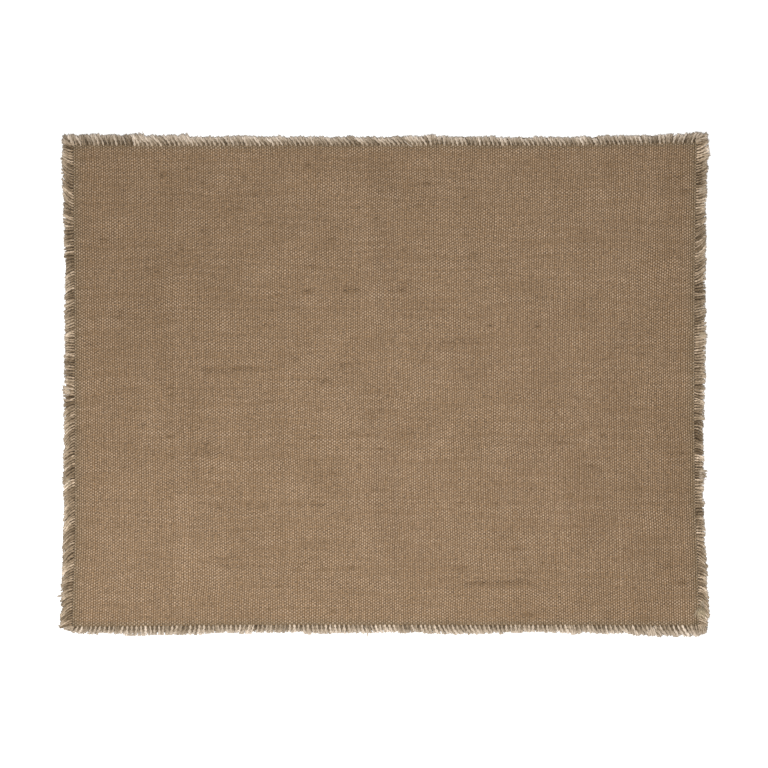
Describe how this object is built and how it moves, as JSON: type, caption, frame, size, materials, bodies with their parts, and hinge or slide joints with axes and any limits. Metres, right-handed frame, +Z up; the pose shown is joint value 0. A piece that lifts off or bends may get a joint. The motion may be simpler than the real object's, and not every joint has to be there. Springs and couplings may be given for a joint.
{
  "type": "fabric placemat",
  "caption": "Rectangular plain-woven brown placemat with a short frayed fringe along all four sides, lying flat.",
  "frame": {"origin": "middle of the mat's bounding box, on the surface that it lies on", "axes": "+X along the long side, +Y to the far side, +Z up through the thickness"},
  "size_m": [0.449, 0.3486, 0.0018],
  "materials": {
    "cloth": "matte plain weave of thick uneven yarn",
    "fringe": "matte frayed yarn ends, paler than the cloth"
  },
  "bodies": {
    "root": {"cloth": "cloth", "fringe_top": "fringe", "fringe_bottom": "fringe", "fringe_left": "fringe", "fringe_right": "fringe"}
  },
  "joints": []
}
